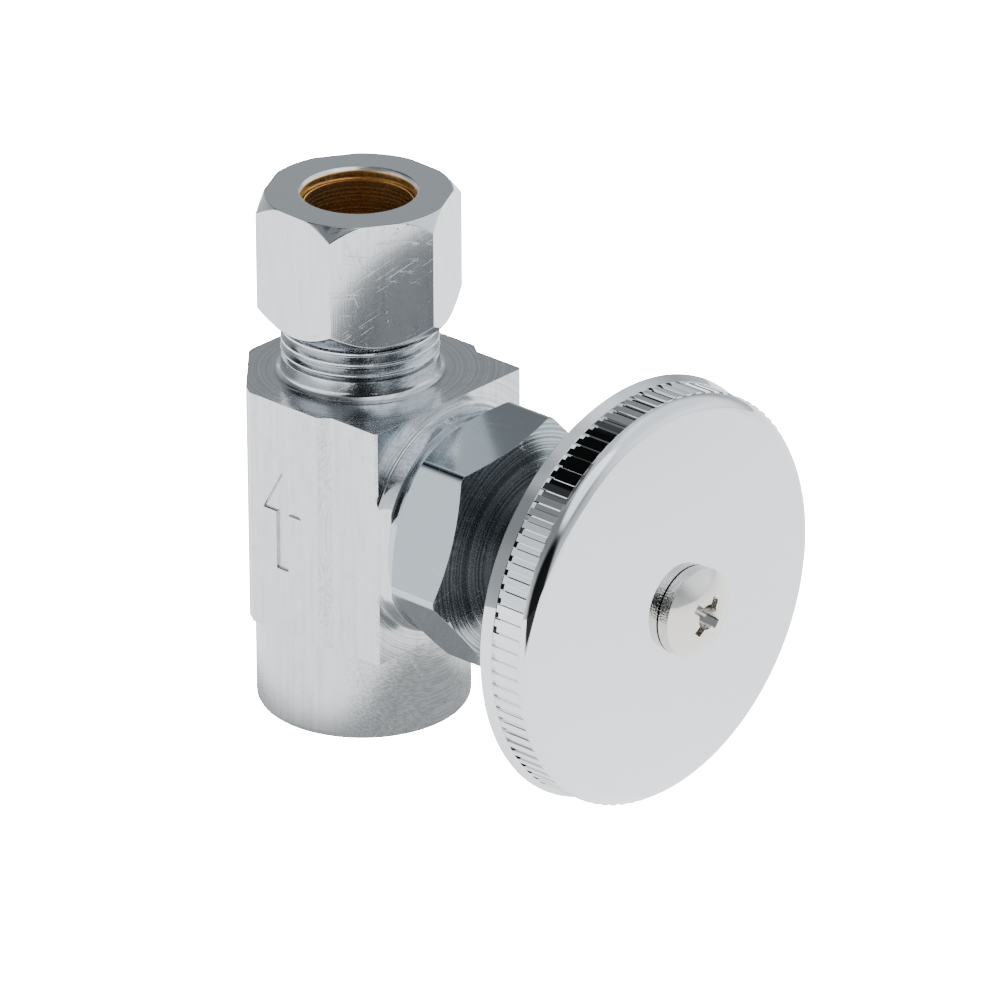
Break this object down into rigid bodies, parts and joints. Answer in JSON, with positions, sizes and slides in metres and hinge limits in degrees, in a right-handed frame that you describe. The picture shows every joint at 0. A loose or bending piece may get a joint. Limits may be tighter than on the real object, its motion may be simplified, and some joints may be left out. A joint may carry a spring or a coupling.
{
  "type": "angle stop valve",
  "caption": "Chrome-plated straight-pattern stop valve with a solder socket inlet, a compression outlet nut and a round ribbed hand wheel on a screw-down stem.",
  "frame": {"origin": "centre of the inlet socket's mouth, on the flow axis", "axes": "+Z along the flow axis from inlet to outlet, -Y along the handle axis towards the handle, +X completes a right-handed frame"},
  "size_m": [0.039, 0.0515, 0.0499],
  "materials": {
    "body_plate": "satin chrome plate on machined brass",
    "nut_plate": "bright chrome plate on machined brass",
    "bonnet_plate": "satin chrome plate with turning marks",
    "handle_plate": "mirror chrome plate",
    "screw_plate": "bright nickel plate on steel",
    "ferrule_brass": "turned brass",
    "stem_brass": "turned brass",
    "seat_rubber": "moulded EPDM rubber",
    "gasket_fibre": "vulcanised fibre",
    "thrust_nylon": "natural nylon"
  },
  "bodies": {
    "valve": {"valve_body": "body_plate", "bonnet": "bonnet_plate", "bonnet_gasket": "gasket_fibre", "thrust_washer": "thrust_nylon"},
    "washer": {"seat_washer": "seat_rubber"},
    "stem": {"stem": "stem_brass", "stem_o_rings": "seat_rubber", "seat_washer_screw": "stem_brass", "handle_wheel": "handle_plate", "handle_screw": "screw_plate"},
    "ferrule": {"ferrule": "ferrule_brass"},
    "nut": {"compression_nut": "nut_plate"}
  },
  "joints": [
    {"name": "stem_travel", "type": "slide", "parent": "valve", "child": "washer", "axis": [0, -1, 0], "range_m": [0, 0.00381]},
    {"name": "handle_turn", "type": "hinge", "parent": "washer", "child": "stem", "pos_m": [0, 0, 0.0212], "axis": [0, -1, 0], "range_deg": [0, 1081]},
    {"name": "nut_travel", "type": "slide", "parent": "valve", "child": "ferrule", "axis": [0, 0, 1], "range_m": [-0.0005, 0.00212]},
    {"name": "nut_turn", "type": "hinge", "parent": "ferrule", "child": "nut", "pos_m": [0, 0, 0.044], "axis": [0, 0, 1], "range_deg": [-171, 721]}
  ],
  "couplings": [
    {"joint": "handle_turn", "follows": "stem_travel", "rad_per_m": 4947.4},
    {"joint": "nut_turn", "follows": "nut_travel", "rad_per_m": 5938.7}
  ]
}
